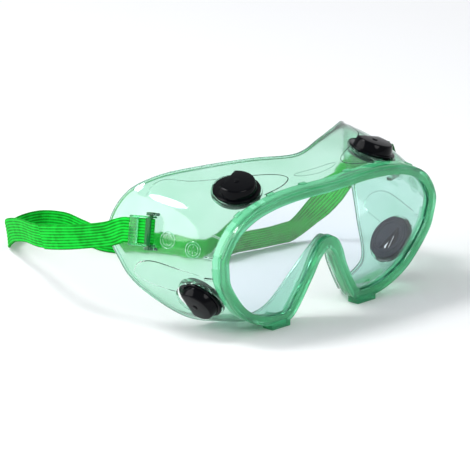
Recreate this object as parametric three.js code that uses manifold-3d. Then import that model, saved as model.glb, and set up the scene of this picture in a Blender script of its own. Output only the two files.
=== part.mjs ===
// Chemical splash goggles: a soft PVC frame with a flat lens in its rim, four button vents that turn in
// the frame, two strap buckles on hinge pins, and one elastic strap.
// Millimetres, +Z up, lens towards -Y, strap towards +Y. "left" and "right" are the wearer's.
import * as THREE from "three";
import { mergeVertices } from "three/addons/utils/BufferGeometryUtils.js";
import Module from "manifold-3d";

const wasm = await Module();
wasm.setup();

// ---- Driving dimensions ----

const GAP = 0.3; // clearance between neighbouring pieces

const LENS_TILT = THREE.MathUtils.degToRad(5.8); // the lens leans forward at the top
const LENS_THICKNESS = 2;
const FLOOR = -45.2; // height of the resting surface below the middle of the rim

const RIM = {
  depth: 8, // front to back
  face: 5.3, // width of the front flange over the lens, but wider over the nose
  flange: 1.6, // thickness of the front flange
  wall: 2.3, // outer wall beside the lens groove
  ledge: 2, // thickness of the ledge behind the lens
  chamfer: 0.7,
  step: 1.2, // how far the rim stands out past the skirt
};

const SKIRT = { wall: 1.8, lip: 0.45, lipReach: 1 };

// The left half of the frame in order from the top centre to the nose. rim: x and height in the
// lens plane. edge: x, y and z on the face. bulge: how far the wall bows outwards between them.
const STATIONS = [
  { rim: [0, 30.7], edge: [0, 25.7, 40], bulge: 1.2 },
  { rim: [25.8, 31.3], edge: [26, 33.4, 41.4], bulge: 1.4 },
  { rim: [45, 30], edge: [50.5, 46, 40], bulge: 1.2 },
  { rim: [61, 26.3], edge: [71, 59.6, 36], bulge: 2 },
  { rim: [74, 18.8], edge: [85, 69.8, 27], bulge: 3.4 },
  { rim: [82.2, 6.2], edge: [92.3, 75, 9], bulge: 3.6 },
  { rim: [82, -5], edge: [90, 68.2, -9], bulge: 2.8 },
  { rim: [78.3, -16], edge: [84.2, 59.6, -22.4], bulge: 1.8 },
  { rim: [64.7, -32.2], edge: [70, 43, -37.2], bulge: 1.4 },
  { rim: [48.6, -40.9], edge: [51.5, 37.5, -43.8], bulge: 1 },
  { rim: [33.3, -43.4], edge: [38, 29, -43.9], bulge: 0.3 },
  { rim: [22.7, -40.6], edge: [27, 21.5, -36.8], bulge: 0.3 },
  { rim: [11, -22.8], edge: [14, 16, -20], bulge: 0.5 },
  { rim: [5.4, -12.6], edge: [6.8, 11.4, -7.8], bulge: 0.5, face: 6.3 },
  { rim: [0, -8], edge: [0, 9.8, -1.5], bulge: 0.5, face: 7.5 },
];
const STEPS_PER_STATION = 3;
const SKIRT_ROWS = 4;

const FOOT = { from: 26, to: 40, front: 4.4, back: 12, top: -41.6 };

// Button vents. at: centre on the outer wall. out: direction that the vent faces.
const VENTS = {
  top: { at: [51.8, 19.6, 31.9], out: [0.25, -0.2, 0.95] },
  lower: { at: [73.6, 24.7, -23.6], out: [0.79, -0.06, -0.61] },
};
const VENT_TURNS = { top_right: THREE.MathUtils.degToRad(14.6) }; // vents that aren't set straight
const BOSS = { radius: 13.8, thickness: 2.4, hole: 8.9 };
const CAP = { flange: 13, flangeHeight: 1.9, base: 11.6, top: 10.4, height: 6.9, wall: 1.3, chord: 5.2 };
const CAP_SLOT = { width: 10, bottom: 2.6, top: 4.8 };
const PIMPLE = { radius: 1.3, height: 0.4 };
const SEAT = { flange: 12.2, flangeHeight: 1.5, barrel: 8.6, bore: 7.3, reach: 2.1, baffle: 1.1 };
const SEAT_SLOT_CHORD = -1.4; // the half moon in the baffle lies in front of this line
const SEAT_RIDGE = { width: 0.9, height: 1.1 };

// Strap hinge: a pin between two lugs on each wing, with the buckle turning on it.
const ANCHOR = {
  station: 4.8,
  depth: 0.55,
  facing: 0.72, // the depth at which the wing is parallel to the buckle
  standoff: 3.2,
  droop: THREE.MathUtils.degToRad(9),
};
const PIN = { radius: 1, length: 19.4 };
const LUG = { size: 4.2, thickness: 1.6, outer: 10, root: 2.2 };
const RAIL = { inner: 7.1, thickness: 1, front: -2.4, back: 12.1, under: -2.3, over: 3.5 };
const KEEPER = { front: 6.9, bottom: 1.9 }; // the wide bar over both layers of strap
const GUARD = { back: 0.9, bottom: 2.65 }; // the narrow bar over the loop of strap round the pin

// Strap: centre line from the right buckle to the left one: x, y, z, and how many degrees the band's
// top edge leans to its right-hand side as the line is followed.
const STRAP = {
  width: 13.6,
  thickness: 1.1,
  layerPitch: 1.4, // from the middle of one layer to the middle of the next
  tailStart: 5,
  tailRight: 76, // the ends of the band double back this far behind each buckle
  tailLeft: 34,
  stepsPerPoint: 3,
};
const ON_FLOOR = FLOOR + STRAP.width / 2 + 0.2;
const STRAP_ROUTE = [
  [-95.2, 72, 7, -8],
  [-95.8, 86, 3, -10],
  [-95.4, 107, -2.4, -4],
  [-86, 134, -9.5, -12],
  [-63, 170, -19, -14],
  [-45, 197, -29, -14],
  [-30, 212.5, ON_FLOOR, -4],
  [-14, 219, ON_FLOOR, 0],
  [0, 217, ON_FLOOR, 0],
  [6, 206, ON_FLOOR, 0],
  [3, 189, ON_FLOOR, 0],
  [0, 170, ON_FLOOR, 0],
  [8, 153, ON_FLOOR, 0],
  [17, 136, ON_FLOOR, 0],
  [20, 119, ON_FLOOR, 8],
  [31, 113, ON_FLOOR, 18],
  [47, 114.5, ON_FLOOR, 20],
  [64, 111, ON_FLOOR, 20],
  [81, 109, ON_FLOOR, 14],
  [94, 103, -28, 8],
  [97.8, 92.5, -16, 6],
  [97.6, 82.5, -4.5, 4],
  [96.4, 73.5, 4, 2],
];

// ---- Making solids ----

// Turns a closed geometry into a solid for joining and cutting, with its faces pointing out.
function solid(geometry) {
  const bare = geometry.clone();
  for (const name of Object.keys(bare.attributes)) {
    if (name !== "position") {
      bare.deleteAttribute(name);
    }
  }
  const merged = mergeVertices(bare, 1e-4);
  const positions = merged.attributes.position;
  const corners = [0, 1, 2].map(() => new THREE.Vector3());
  const kept = [];
  let volume = 0;
  for (let i = 0; i < merged.index.count; i += 3) {
    const triangle = [0, 1, 2].map((k) => merged.index.getX(i + k));
    if (new Set(triangle).size === 3) {
      kept.push(...triangle);
      corners.forEach((corner, k) => corner.fromBufferAttribute(positions, triangle[k]));
      volume += corners[0].dot(corners[1].clone().cross(corners[2]));
    }
  }
  if (volume < 0) {
    kept.reverse();
  }
  return new wasm.Manifold(new wasm.Mesh({
    numProp: 3,
    vertProperties: new Float32Array(positions.array),
    triVerts: new Uint32Array(kept),
  }));
}

function geometryOf(body) {
  const mesh = body.getMesh();
  const geometry = new THREE.BufferGeometry();
  geometry.setAttribute("position", new THREE.BufferAttribute(mesh.vertProperties, 3));
  geometry.setIndex(new THREE.BufferAttribute(mesh.triVerts, 1));
  geometry.computeVertexNormals();
  return geometry;
}

// A box between two corners.
function block(low, high) {
  const [x, y, z] = high.map((value, k) => value - low[k]);
  const geometry = new THREE.BoxGeometry(x, y, z);
  return geometry.translate(low[0] + x / 2, low[1] + y / 2, low[2] + z / 2);
}

// A solid turned round the Z axis, from pairs of radius and height that start and end on the axis.
function turned(profile, segments = 24) {
  const points = profile.map(([radius, height]) => new THREE.Vector2(radius, height));
  return new THREE.LatheGeometry(points, segments).rotateX(Math.PI / 2);
}

function disc(radius, bottom, top, segments = 24) {
  return turned([[0, bottom], [radius, bottom], [radius, top], [0, top]], segments);
}

// Skins a row of equal closed rings of points. A row that isn't closed gets flat ends.
function loft(rings, closed) {
  const size = rings[0].length;
  const vertices = rings.flat().flatMap((point) => point.toArray());
  const faces = [];
  const rows = closed ? rings.length : rings.length - 1;
  for (let i = 0; i < rows; i += 1) {
    for (let j = 0; j < size; j += 1) {
      const a = i * size + j;
      const b = i * size + ((j + 1) % size);
      const c = ((i + 1) % rings.length) * size + ((j + 1) % size);
      const d = ((i + 1) % rings.length) * size + j;
      faces.push(a, b, c, a, c, d);
    }
  }
  if (!closed) {
    const last = (rings.length - 1) * size;
    for (let j = 1; j < size - 1; j += 1) {
      faces.push(0, j + 1, j);
      faces.push(last, last + j, last + j + 1);
    }
  }
  const geometry = new THREE.BufferGeometry();
  geometry.setAttribute("position", new THREE.Float32BufferAttribute(vertices, 3));
  geometry.setIndex(faces);
  return geometry;
}

// A placement whose local Z axis is "out" and whose local Y axis points as far back as it can.
function placement(at, out) {
  const z = out.clone().normalize();
  const y = new THREE.Vector3(0, 1, 0);
  y.addScaledVector(z, -y.dot(z)).normalize();
  const x = y.clone().cross(z);
  return new THREE.Matrix4().makeBasis(x, y, z).setPosition(at);
}

// ---- Frame surface ----

const mirrored = STATIONS.slice(1, -1).reverse().map(({ rim, edge, ...rest }) => {
  return { rim: [-rim[0], rim[1]], edge: [-edge[0], edge[1], edge[2]], ...rest };
});
const allStations = [...STATIONS, ...mirrored];

function closedCurve(points) {
  return new THREE.CatmullRomCurve3(points, true, "catmullrom", 0.5);
}

const rimCurve = closedCurve(allStations.map(({ rim }) => new THREE.Vector3(rim[0], 0, rim[1])));
const edgeCurve = closedCurve(allStations.map(({ edge }) => new THREE.Vector3(...edge)));
const widthCurve = closedCurve(allStations.map(({ bulge, face }) => {
  return new THREE.Vector3(bulge, face ?? RIM.face, 0);
}));

const lensPlane = new THREE.Matrix4().makeRotationX(LENS_TILT);

// Direction in the lens plane, away from the lens, at a station.
function rimOutward(station) {
  const along = rimCurve.getTangent(station / allStations.length);
  return new THREE.Vector3(-along.z, 0, along.x);
}

// A point of the rim's section: how far outside the outline, and how far behind the front face.
function rimPoint(station, outside, behind) {
  const point = rimCurve.getPoint(station / allStations.length);
  point.addScaledVector(rimOutward(station), outside);
  point.y = behind;
  return point.applyMatrix4(lensPlane);
}

// A point of the skirt's outer surface: depth runs from 0 at the rim to 1 at the face edge.
function skirtPoint(station, depth) {
  const share = station / allStations.length;
  const point = rimPoint(station, -RIM.step, RIM.depth).lerp(edgeCurve.getPoint(share), depth);
  const bow = 4 * depth * (1 - depth) * widthCurve.getPoint(share).x;
  return point.addScaledVector(rimOutward(station).applyMatrix4(lensPlane), bow);
}

function skirtNormal(station, depth) {
  const nudge = 0.01;
  const back = Math.min(depth, 1 - nudge);
  const along = skirtPoint(station + nudge, depth).sub(skirtPoint(station - nudge, depth));
  const across = skirtPoint(station, back + nudge).sub(skirtPoint(station, back));
  return along.cross(across).normalize();
}

// One closed section of the frame: lens groove, inner wall, lip, outer wall, rim.
function frameSection(station) {
  const grooveBack = RIM.flange + LENS_THICKNESS + 2 * GAP;
  const ledgeBack = grooveBack + RIM.ledge;
  const face = widthCurve.getPoint(station / allStations.length).y;
  const section = [
    rimPoint(station, -RIM.chamfer, 0),
    rimPoint(station, -face, 0),
    rimPoint(station, -face, RIM.flange),
    rimPoint(station, -RIM.wall, RIM.flange),
    rimPoint(station, -RIM.wall, grooveBack),
    rimPoint(station, -face, grooveBack),
    rimPoint(station, -face, ledgeBack),
  ];
  for (let row = 0; row <= SKIRT_ROWS; row += 1) {
    const depth = row / SKIRT_ROWS;
    const thickness = SKIRT.wall + (row === SKIRT_ROWS ? SKIRT.lip : 0);
    section.push(skirtPoint(station, depth).addScaledVector(skirtNormal(station, depth), -thickness));
  }
  const edge = skirtPoint(station, 1);
  const normal = skirtNormal(station, 1);
  const backwards = edge.clone().sub(skirtPoint(station, 0.9)).normalize();
  const lip = edge.clone().addScaledVector(backwards, SKIRT.lipReach);
  section.push(lip.addScaledVector(normal, -SKIRT.wall / 2));
  section.push(edge.clone().addScaledVector(normal, SKIRT.lip));
  for (let row = SKIRT_ROWS - 1; row >= 0; row -= 1) {
    section.push(skirtPoint(station, row / SKIRT_ROWS));
  }
  section.push(rimPoint(station, 0, RIM.depth));
  section.push(rimPoint(station, 0, RIM.chamfer));
  return section;
}

function stationSteps() {
  const count = allStations.length * STEPS_PER_STATION;
  return Array.from({ length: count }, (_, i) => i / STEPS_PER_STATION);
}

// ---- Vents ----

const SIDES = [["left", 1], ["right", -1]];

const ventPlaces = SIDES.flatMap(([side, sign]) => {
  return Object.entries(VENTS).map(([level, { at, out }]) => {
    const centre = new THREE.Vector3(sign * at[0], at[1], at[2]);
    const facing = new THREE.Vector3(sign * out[0], out[1], out[2]);
    const name = `${level}_${side}`;
    const turn = new THREE.Matrix4().makeRotationZ(VENT_TURNS[name] ?? 0);
    return { name, matrix: placement(centre, facing).multiply(turn) };
  });
});

// Hooded cap: a flange, a raised hood cut flat at the back, and an air slot in the flat side.
function ventCap() {
  const bottom = GAP;
  const inside = CAP.height - CAP.wall;
  let cap = solid(turned([
    [0, bottom],
    [CAP.flange - 0.4, bottom],
    [CAP.flange, bottom + 0.5],
    [CAP.flange - 0.4, CAP.flangeHeight],
    [CAP.base, CAP.flangeHeight + 0.4],
    [CAP.top + 0.6, CAP.height - 1.2],
    [CAP.top - 0.8, CAP.height],
    [0, CAP.height],
  ]));
  const cut = [CAP.flange, CAP.flange, CAP.height + 1];
  cap = cap.subtract(solid(block([-CAP.flange, CAP.chord, CAP.flangeHeight], cut)));
  cap = cap.add(solid(disc(PIMPLE.radius, CAP.height - 0.5, CAP.height + PIMPLE.height, 12)));
  let hollow = solid(disc(SEAT.barrel + GAP, -1, inside));
  const flat = CAP.chord - CAP.wall;
  hollow = hollow.subtract(solid(block([-CAP.flange, flat, CAP.flangeHeight + 0.6], cut)));
  cap = cap.subtract(hollow);
  const half = CAP_SLOT.width / 2;
  const slot = block([-half, flat - 1, CAP_SLOT.bottom], [half, CAP.chord + 1, CAP_SLOT.top]);
  return geometryOf(cap.subtract(solid(slot)));
}

// Seat: a flange inside the wall, a barrel through it, and a baffle with a half-moon slot.
function ventSeat() {
  const top = -BOSS.thickness - GAP;
  const bottom = top - SEAT.flangeHeight;
  let seat = solid(turned([
    [0, bottom],
    [SEAT.flange - 0.5, bottom],
    [SEAT.flange, bottom + 0.5],
    [SEAT.flange, top],
    [SEAT.barrel, top],
    [SEAT.barrel, SEAT.reach],
    [0, SEAT.reach],
  ]));
  seat = seat.subtract(solid(disc(SEAT.bore, bottom + SEAT.baffle, SEAT.reach + 1)));
  const reach = SEAT.bore;
  const over = bottom + SEAT.baffle + 1;
  const front = block([-reach, -reach, bottom - 1], [reach, SEAT_SLOT_CHORD, over]);
  const round = disc(SEAT.bore - 0.5, bottom - 1, over);
  seat = seat.subtract(solid(round).intersect(solid(front)));
  const ridgeLow = [-SEAT.bore, SEAT_SLOT_CHORD, bottom - SEAT_RIDGE.height];
  const ridgeHigh = [SEAT.bore, SEAT_SLOT_CHORD + SEAT_RIDGE.width, bottom + 0.5];
  return geometryOf(seat.add(solid(block(ridgeLow, ridgeHigh))));
}

// ---- Strap hinge ----

// The hinge's local X axis points out from the wing, Y back along it, and the pin lies on Z.
const hingePlaces = SIDES.map(([side, sign]) => {
  const out = skirtNormal(ANCHOR.station, ANCHOR.facing);
  const at = skirtPoint(ANCHOR.station, ANCHOR.depth).addScaledVector(out, ANCHOR.standoff);
  const back = new THREE.Vector3(0, Math.cos(ANCHOR.droop), -Math.sin(ANCHOR.droop));
  back.addScaledVector(out, -back.dot(out)).normalize();
  const x = new THREE.Vector3(sign * out.x, out.y, out.z);
  const y = new THREE.Vector3(sign * back.x, back.y, back.z);
  const matrix = new THREE.Matrix4().makeBasis(x, y, x.clone().cross(y));
  return { side, matrix: matrix.setPosition(sign * at.x, at.y, at.z) };
});

function lugs() {
  const half = LUG.size / 2;
  const hole = solid(disc(PIN.radius + GAP, -LUG.outer - 1, LUG.outer + 1, 16));
  return [-1, 1].map((end) => {
    const faces = [end * LUG.outer, end * (LUG.outer - LUG.thickness)].sort((a, b) => a - b);
    const low = [-ANCHOR.standoff - LUG.root, -half, faces[0]];
    return solid(block(low, [half, half, faces[1]])).subtract(hole);
  });
}

// Slide buckle: two rails that turn on the pin, joined by a wide keeper bar and a narrow guard.
function buckle() {
  const outer = RAIL.inner + RAIL.thickness;
  const shape = new THREE.Shape();
  shape.moveTo(RAIL.under, 0);
  shape.absarc(0, 0, -RAIL.under, Math.PI, 1.5 * Math.PI, false);
  shape.lineTo(RAIL.over, RAIL.front);
  shape.lineTo(RAIL.over, RAIL.back);
  shape.lineTo(-1.4, RAIL.back);
  shape.lineTo(RAIL.under, 3);
  const whole = solid(new THREE.ExtrudeGeometry(shape, {
    depth: 2 * outer,
    bevelEnabled: false,
    curveSegments: 8,
  }).translate(0, 0, -outer));
  const reach = RAIL.back + 1;
  const opening = block([-5, GUARD.back, -RAIL.inner], [5, KEEPER.front, RAIL.inner]);
  const loop = block([-5, -5, -RAIL.inner], [GUARD.bottom, GUARD.back + 1, RAIL.inner]);
  const under = block([-5, KEEPER.front - 1, -RAIL.inner], [KEEPER.bottom, reach, RAIL.inner]);
  const bore = disc(PIN.radius + GAP, -outer - 1, outer + 1, 16);
  const cuts = [opening, loop, under, bore].map(solid);
  return geometryOf(cuts.reduce((body, cut) => body.subtract(cut), whole));
}

// ---- Strap ----

// Where each end of the band lies round its pin: out from the wing, and back along it.
const OUTER_LAYER = [[1.6, 3.2], [1.15, 6], [1.05, 9], [1.05, 13], [1.05, 17]];
const INNER_LAYER = OUTER_LAYER.map(([out, back]) => [out - STRAP.layerPitch, back]).slice(1);

function loopPairs() {
  const radius = PIN.radius + GAP + STRAP.thickness / 2;
  const arc = Array.from({ length: 7 }, (_, i) => {
    const angle = (i * Math.PI) / 6;
    return [radius * Math.cos(angle), -radius * Math.sin(angle)];
  });
  return [...OUTER_LAYER.toReversed(), ...arc, ...INNER_LAYER];
}

// Steps of the band at a hinge: its centre line there, and the direction of its upper edge.
function stepsOnHinge(matrix, pairs) {
  const pin = new THREE.Vector3().setFromMatrixColumn(matrix, 2);
  const up = pin.multiplyScalar(Math.sign(pin.z));
  return pairs.map(([out, back]) => ({ point: new THREE.Vector3(out, back, 0).applyMatrix4(matrix), up }));
}

// The free band between the buckles, in steps from the right one to the left one.
function freeSteps(rightEnd, leftEnd) {
  const route = STRAP_ROUTE.map(([x, y, z, lean]) => ({ point: new THREE.Vector3(x, y, z), lean }));
  const controls = [...rightEnd, ...route, ...leftEnd];
  const line = new THREE.CatmullRomCurve3(controls.map(({ point }) => point), false, "centripetal");
  const last = controls.length - 1;
  const ups = controls.map(({ up, lean }, i) => {
    const turn = THREE.MathUtils.degToRad(lean ?? 0);
    return up ?? new THREE.Vector3(0, 0, 1).applyAxisAngle(line.getTangent(i / last), turn);
  });
  const upLine = new THREE.CatmullRomCurve3(ups);
  const count = last * STRAP.stepsPerPoint;
  return Array.from({ length: count + 1 }, (_, i) => {
    const share = i / count;
    const point = line.getPoint(share);
    point.z = Math.max(point.z, ON_FLOOR);
    return { point, along: line.getTangent(share), up: upLine.getPoint(share) };
  });
}

// A second layer of band on the outer side of the first one, as far along it as a length.
function tailSteps(steps, length) {
  const tail = [];
  let travelled = 0;
  steps.slice(1).forEach(({ point, along, up }, i) => {
    travelled += point.distanceTo(steps[i].point);
    if (travelled > STRAP.tailStart && travelled < length) {
      const outward = up.clone().cross(along).normalize();
      tail.push({ point: point.clone().addScaledVector(outward, STRAP.layerPitch), up });
    }
  });
  return tail;
}

function strap() {
  const [left, right] = hingePlaces.map(({ matrix }) => ({
    loop: stepsOnHinge(matrix, loopPairs()),
    end: stepsOnHinge(matrix, INNER_LAYER.slice(-2)),
  }));
  const steps = freeSteps(right.end, left.end.toReversed());
  const line = [
    ...tailSteps(steps, STRAP.tailRight).reverse(),
    ...right.loop,
    ...steps.slice(STRAP.stepsPerPoint + 1, -STRAP.stepsPerPoint - 1),
    ...left.loop.toReversed(),
    ...tailSteps(steps.toReversed(), STRAP.tailLeft),
  ];
  const rings = line.map(({ point, up }, i) => {
    const before = line[Math.max(i - 1, 0)].point;
    const after = line[Math.min(i + 1, line.length - 1)].point;
    const across = after.clone().sub(before).cross(up).normalize();
    const edge = across.clone().cross(after.clone().sub(before)).normalize();
    return [[1, 1], [1, -1], [-1, -1], [-1, 1]].map(([side, end]) => {
      const corner = point.clone().addScaledVector(across, (side * STRAP.thickness) / 2);
      return corner.addScaledVector(edge, (end * STRAP.width) / 2);
    });
  });
  return geometryOf(solid(loft(rings, false)));
}

// ---- Frame and lens ----

function frame() {
  let body = solid(loft(stationSteps().map(frameSection), true));
  for (const sign of [1, -1]) {
    const x = [sign * FOOT.from, sign * FOOT.to].sort((a, b) => a - b);
    body = body.add(solid(block([x[0], FOOT.front, FLOOR], [x[1], FOOT.back, FOOT.top])));
  }
  for (const { matrix } of hingePlaces) {
    for (const lug of lugs()) {
      body = body.add(solid(geometryOf(lug).applyMatrix4(matrix)));
    }
  }
  for (const { matrix } of ventPlaces) {
    const tool = (radius, bottom, top) => solid(disc(radius, bottom, top).applyMatrix4(matrix));
    body = body.add(tool(BOSS.radius, -BOSS.thickness, 0));
    body = body.subtract(tool(CAP.flange + GAP, 0, 6));
    body = body.subtract(tool(SEAT.flange + GAP, -BOSS.thickness - 6, -BOSS.thickness));
    body = body.subtract(tool(BOSS.hole, -BOSS.thickness - 1, 1));
  }
  return geometryOf(body);
}

function lens() {
  const inset = RIM.wall + GAP;
  const outline = stationSteps().map((station) => {
    const point = rimCurve.getPoint(station / allStations.length);
    point.addScaledVector(rimOutward(station), -inset);
    return new THREE.Vector2(point.x, point.z);
  });
  const pane = new THREE.ExtrudeGeometry(new THREE.Shape(outline), {
    depth: LENS_THICKNESS,
    bevelEnabled: false,
  });
  return geometryOf(solid(pane.rotateX(Math.PI / 2)));
}

// ---- Assembly ----

const FINISHES = {
  frame: { color: 0x9fe6c4, roughness: 0.15, metalness: 0 },
  lens: { color: 0xeaf4fa, roughness: 0.03, metalness: 0 },
  vent: { color: 0x0b1014, roughness: 0.25, metalness: 0 },
  buckle: { color: 0xb9efd4, roughness: 0.12, metalness: 0 },
  pin: { color: 0x0f5a34, roughness: 0.3, metalness: 0 },
  strap: { color: 0x16c23a, roughness: 0.8, metalness: 0 },
};

const goggles = new THREE.Group();

function place(name, geometry, finish, matrix) {
  const mesh = new THREE.Mesh(geometry, new THREE.MeshStandardMaterial(FINISHES[finish]));
  mesh.name = name;
  if (matrix) {
    mesh.applyMatrix4(matrix);
  }
  goggles.add(mesh);
}

place("mask_frame", frame(), "frame");
const paneBack = new THREE.Matrix4().makeTranslation(0, RIM.flange + GAP + LENS_THICKNESS, 0);
place("lens", lens(), "lens", lensPlane.clone().multiply(paneBack));
for (const { name, matrix } of ventPlaces) {
  place(`vent_cap_${name}`, ventCap(), "vent", matrix);
  place(`vent_seat_${name}`, ventSeat(), "vent", matrix);
}
for (const { side, matrix } of hingePlaces) {
  place(`buckle_${side}`, buckle(), "buckle", matrix);
  place(`buckle_pin_${side}`, disc(PIN.radius, -PIN.length / 2, PIN.length / 2, 16), "pin", matrix);
}
place("strap", strap(), "strap");

// The origin is under the middle of the whole object, on the surface that it rests on.
const extent = new THREE.Box3().setFromObject(goggles);
const middle = extent.getCenter(new THREE.Vector3());
goggles.position.set(-middle.x, -middle.y, -extent.min.z);

export default goggles;
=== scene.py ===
# Chemical splash goggles lying on a white table: a soft clear-green frame, a flat lens, four turning
# button vents, two hinged strap buckles and a ribbed elastic strap.
import math

import bpy
import numpy as np
from mathutils import Matrix, Vector


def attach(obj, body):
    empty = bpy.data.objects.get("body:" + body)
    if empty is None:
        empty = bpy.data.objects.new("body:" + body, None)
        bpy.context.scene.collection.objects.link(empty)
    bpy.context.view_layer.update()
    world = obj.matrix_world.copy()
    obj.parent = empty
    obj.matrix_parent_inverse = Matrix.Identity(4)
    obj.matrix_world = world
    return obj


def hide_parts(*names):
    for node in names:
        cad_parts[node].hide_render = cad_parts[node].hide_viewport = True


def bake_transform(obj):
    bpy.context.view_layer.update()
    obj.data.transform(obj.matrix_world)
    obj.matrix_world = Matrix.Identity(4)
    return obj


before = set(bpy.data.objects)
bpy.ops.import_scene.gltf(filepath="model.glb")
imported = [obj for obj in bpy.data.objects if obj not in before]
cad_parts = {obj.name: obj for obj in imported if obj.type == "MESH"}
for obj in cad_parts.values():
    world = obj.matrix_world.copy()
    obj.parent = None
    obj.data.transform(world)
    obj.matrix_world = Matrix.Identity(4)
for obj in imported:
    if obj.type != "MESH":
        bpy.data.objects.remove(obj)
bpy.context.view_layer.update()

# ---- Camera ----
# A very long lens far away, so that the lines of the goggles stay nearly parallel. It stands in
# front, on the wearer's right and a little above.

MM = 0.001
RIM_MIDDLE = Vector((0, -108.442, 45.2)) * MM
VIEW_SIDE = math.radians(45.97)
VIEW_HEIGHT = math.radians(16.96)
VIEW_DISTANCE = 8.0
# How far the middle of the view lies to the camera's right of the rim's middle and above it.
VIEW_MIDDLE = (-51.0, 0.4)
CAMERA_LENS = {"sensor": 36, "length": 1147.6, "reach": 50}

camera_right = Vector((math.cos(VIEW_SIDE), -math.sin(VIEW_SIDE), 0))
camera_back = Vector((
    -math.sin(VIEW_SIDE) * math.cos(VIEW_HEIGHT),
    -math.cos(VIEW_SIDE) * math.cos(VIEW_HEIGHT),
    math.sin(VIEW_HEIGHT),
))
camera_up = camera_back.cross(camera_right)
aim = RIM_MIDDLE + camera_right * (VIEW_MIDDLE[0] * MM) + camera_up * (VIEW_MIDDLE[1] * MM)
camera = bpy.data.objects.new("camera", bpy.data.cameras.new("camera"))
bpy.context.scene.collection.objects.link(camera)
camera.data.sensor_width = CAMERA_LENS["sensor"]
camera.data.lens = CAMERA_LENS["length"]
camera.data.clip_end = CAMERA_LENS["reach"]
camera.location = aim + camera_back * VIEW_DISTANCE
camera.rotation_euler = Matrix((camera_right, camera_up, camera_back)).transposed().to_euler()
bpy.context.scene.camera = camera
bpy.context.scene.view_settings.view_transform = "Standard"

# ---- Table and light ----
# A matt white table under soft studio light: a big softbox behind the wearer's right, a smaller
# key light above it that draws the shadow, a fill over the lens side, and a bright room all round.


def linear(hex_colour):
    """An sRGB hex colour as linear red, green, blue and alpha."""
    channels = [int(hex_colour[i:i + 2], 16) / 255 for i in (1, 3, 5)]
    return [c / 12.92 if c < 0.04045 else ((c + 0.055) / 1.055) ** 2.4 for c in channels] + [1.0]


def node(tree, kind, settings=None, links=None):
    """Adds a shader node, sets its sockets or its own settings, and links sockets to others."""
    added = tree.nodes.new(kind)
    for key, value in (settings or {}).items():
        if isinstance(key, int) or key in added.inputs:
            added.inputs[key].default_value = value
        else:
            setattr(added, key, value)
    for key, source in (links or {}).items():
        tree.links.new(source, added.inputs[key])
    return added


def finish_named(name):
    """A new material with only its output node."""
    material = bpy.data.materials.new(name)
    material.use_nodes = True
    material.node_tree.nodes.clear()
    return material, material.node_tree


def surface(tree, settings, links=None):
    """The material's shader, wired to its output."""
    shader = node(tree, "ShaderNodeBsdfPrincipled", settings, links)
    node(tree, "ShaderNodeOutputMaterial", links={"Surface": shader.outputs["BSDF"]})
    return shader


def painted_table():
    """Matt white painted board, with a faint unevenness in its sheen."""
    material, tree = finish_named("matt white painted board")
    place = node(tree, "ShaderNodeTexCoord").outputs["Object"]
    mottle = node(tree, "ShaderNodeTexNoise", {"Scale": 6.0, "Detail": 3.0}, {"Vector": place})
    sheen = node(
        tree, "ShaderNodeMapRange", {"To Min": 0.55, "To Max": 0.7}, {"Value": mottle.outputs["Fac"]}
    )
    surface(
        tree,
        {"Base Color": linear("#ecedee"), "Specular IOR Level": 0.15},
        {"Roughness": sheen.outputs["Result"]},
    )
    return material


TABLE_RADIUS = 12

bpy.ops.object.select_all(action="DESELECT")
bpy.ops.mesh.primitive_circle_add(vertices=96, radius=TABLE_RADIUS, fill_type="NGON")
table = bpy.context.object
table.name = "table"
table.data.materials.append(painted_table())


def softbox(name, towards, distance, size, power):
    """A round area light that faces the goggles from a direction: metres and watts."""
    light = bpy.data.objects.new(name, bpy.data.lights.new(name, "AREA"))
    bpy.context.scene.collection.objects.link(light)
    light.data.shape = "DISK"
    light.data.size = size
    light.data.energy = power
    direction = Vector(towards).normalized()
    light.location = RIM_MIDDLE + direction * distance
    light.rotation_euler = direction.to_track_quat("Z", "Y").to_euler()


softbox("softbox behind", (-0.85, 0.55, 0.5), 1.5, 1.3, 15)
softbox("key above", (-0.45, 0.45, 1.0), 1.6, 0.45, 13)
softbox("fill in front", (-0.2, -1.0, 0.6), 2.0, 1.0, 12)

room = bpy.data.worlds.new("white room")
bpy.context.scene.world = room
room.use_nodes = True
background = room.node_tree.nodes["Background"]
background.inputs["Color"].default_value = linear("#fbfcff")
background.inputs["Strength"].default_value = 0.6

# ---- Frame ----
# The soft frame is injection moulded in one piece from clear green PVC: a channel round the lens, a
# bowed skirt that spreads back to the face, and a rolled lip along its edge. Boss rings for the
# vents, two small feet and the hinge lugs are part of the same moulding.

LENS_TILT = math.radians(5.8)
LENS_THICKNESS = 2.0
GAP = 0.3
FLOOR = -45.2
RIM = {"depth": 8.0, "face": 5.3, "flange": 1.6, "wall": 2.3, "ledge": 2.0, "round": 1.3, "step": 1.2}
SKIRT = {"wall": 1.8, "lip": 0.6, "lip_reach": 1.1}
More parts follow.
